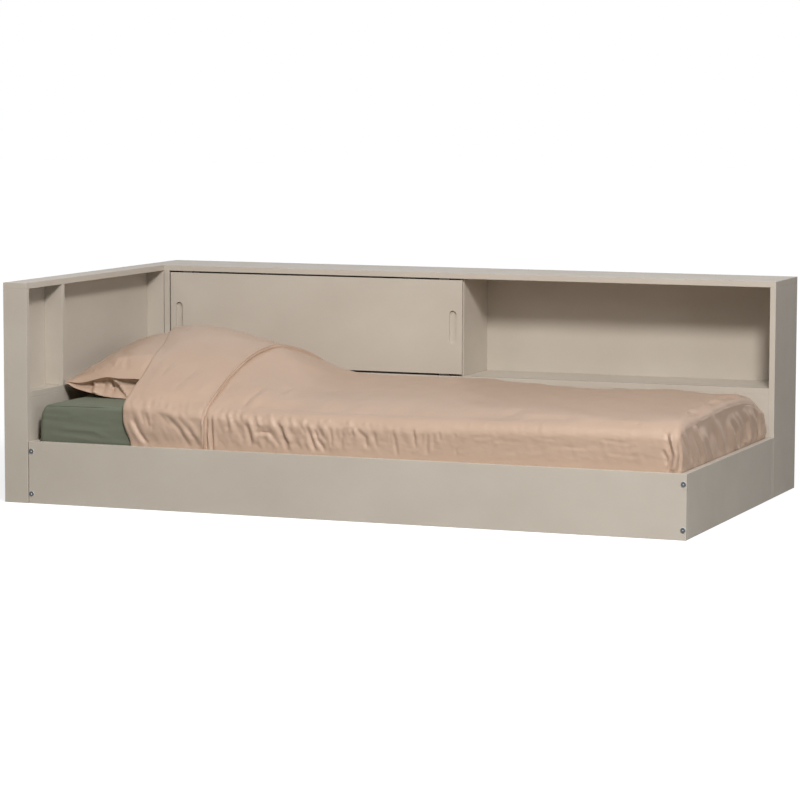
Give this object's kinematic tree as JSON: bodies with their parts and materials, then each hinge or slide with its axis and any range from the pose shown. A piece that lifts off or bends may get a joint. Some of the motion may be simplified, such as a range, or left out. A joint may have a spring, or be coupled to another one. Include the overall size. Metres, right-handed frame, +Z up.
{
  "type": "corner storage bed",
  "caption": "Low single bed in an L of shallow lacquered storage units: open niches, a sliding door with finger grips, slatted frame, mattress, pillow and turned-back duvet.",
  "frame": {"origin": "on the floor under the middle of the whole bed", "axes": "+Z up, +X from the head unit to the foot, -Y towards the open long side, +Y towards the wall behind the back unit"},
  "size_m": [2.13, 1.225, 0.663],
  "materials": {
    "lacquered_board": "greige satin lacquer on board",
    "pine": "planed, unfinished",
    "beech": "fluted dowel, unfinished",
    "zinc_steel": "bright zinc plated",
    "track_plastic": "matt, tinted to match the boards",
    "mattress_cover": "quilted knit",
    "green_cotton": "sage green fitted sheet",
    "peach_satin": "peach cotton satin, softly shining"
  },
  "bodies": {
    "bed": {"back_board": "lacquered_board", "back_divider": "lacquered_board", "back_ledger": "pine", "back_left_panel": "lacquered_board", "back_lower_panel": "lacquered_board", "back_lower_support": "lacquered_board", "back_rail": "lacquered_board", "back_right_panel": "lacquered_board", "back_shelf": "lacquered_board", "back_top": "lacquered_board", "barrel_nuts": "zinc_steel", "bed_foot_board": "lacquered_board", "bed_head_board": "lacquered_board", "cam_bolts": "zinc_steel", "cam_locks": "zinc_steel", "door_bottom_track": "track_plastic", "door_top_track": "track_plastic", "dowels": "beech", "duvet": "peach_satin", "fitted_sheet": "green_cotton", "frame_bolts": "zinc_steel", "front_ledger": "pine", "front_rail": "lacquered_board", "head_divider": "lacquered_board", "head_far_panel": "lacquered_board", "head_front_panel": "lacquered_board", "head_lower_panel": "lacquered_board", "head_outer_board": "lacquered_board", "head_partition": "lacquered_board", "head_shelf": "lacquered_board", "head_top": "lacquered_board", "joining_screws": "zinc_steel", "ledger_screws": "zinc_steel", "mattress": "mattress_cover", "pillow": "peach_satin", "slat_01": "pine", "slat_02": "pine", "slat_03": "pine", "slat_04": "pine", "slat_05": "pine", "slat_06": "pine", "slat_07": "pine", "slat_08": "pine", "slat_09": "pine", "slat_10": "pine", "slat_11": "pine", "slat_12": "pine", "slat_13": "pine", "slat_14": "pine", "slat_screws": "zinc_steel", "track_stops": "track_plastic"},
    "door": {"door_glide_left": "track_plastic", "door_glide_right": "track_plastic", "door_guide_left": "track_plastic", "door_guide_right": "track_plastic", "door_shoe_screws": "zinc_steel", "sliding_door": "lacquered_board"}
  },
  "joints": [
    {"name": "door_slide", "type": "slide", "parent": "bed", "child": "door", "axis": [1, 0, 0], "range_m": [0, 0.992]}
  ]
}
